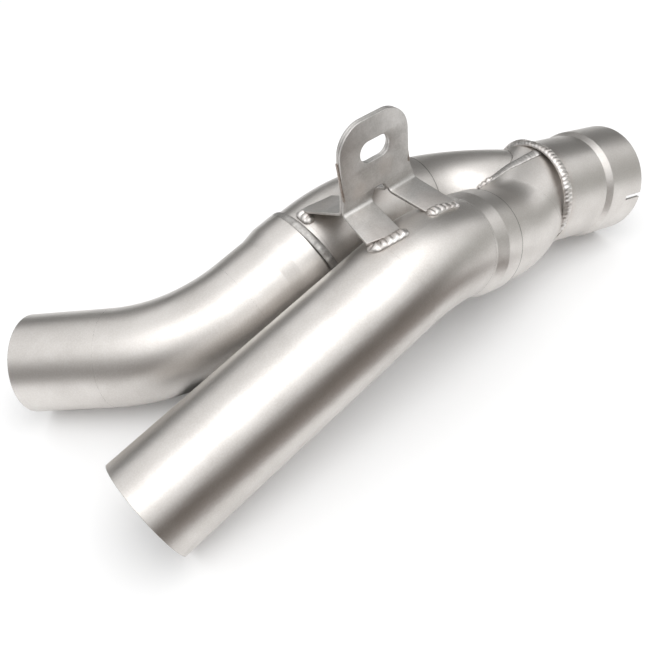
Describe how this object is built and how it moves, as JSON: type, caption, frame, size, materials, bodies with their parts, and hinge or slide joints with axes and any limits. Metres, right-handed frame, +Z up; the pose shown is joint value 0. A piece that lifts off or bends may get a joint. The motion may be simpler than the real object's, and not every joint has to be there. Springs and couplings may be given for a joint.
{
  "type": "motorcycle exhaust link pipe",
  "caption": "Steel pipe that joins two exhaust headers into one flared, slit clamp end, with a slotted hanging bracket welded between its tubes.",
  "frame": {"origin": "centre of the outlet's open end", "axes": "+X along the front tube in plan, towards the outlet; +Y from the front tube to the rear tube, square to the bracket; +Z up, with the pipe lying on both inlets and the outlet"},
  "size_m": [0.3429, 0.1614, 0.1278],
  "materials": {
    "tube_steel": "satin, bead blasted",
    "plate_steel": "satin, bead blasted sheet",
    "weld_steel": "rippled weld, lightly tinted by heat"
  },
  "bodies": {
    "root": {"front_tube": "tube_steel", "front_merge_leg": "tube_steel", "rear_inlet_tube": "tube_steel", "rear_mid_tube": "tube_steel", "rear_merge_leg": "tube_steel", "collector": "tube_steel", "bracket_front_plate": "plate_steel", "bracket_rear_plate": "plate_steel", "collector_ring_weld": "weld_steel", "merge_seam_weld": "weld_steel", "rear_socket_weld": "weld_steel", "front_left_foot_weld": "weld_steel", "front_right_foot_weld": "weld_steel", "rear_left_foot_weld": "weld_steel", "rear_right_foot_weld": "weld_steel", "left_edge_weld": "weld_steel", "right_edge_weld": "weld_steel"}
  },
  "joints": []
}
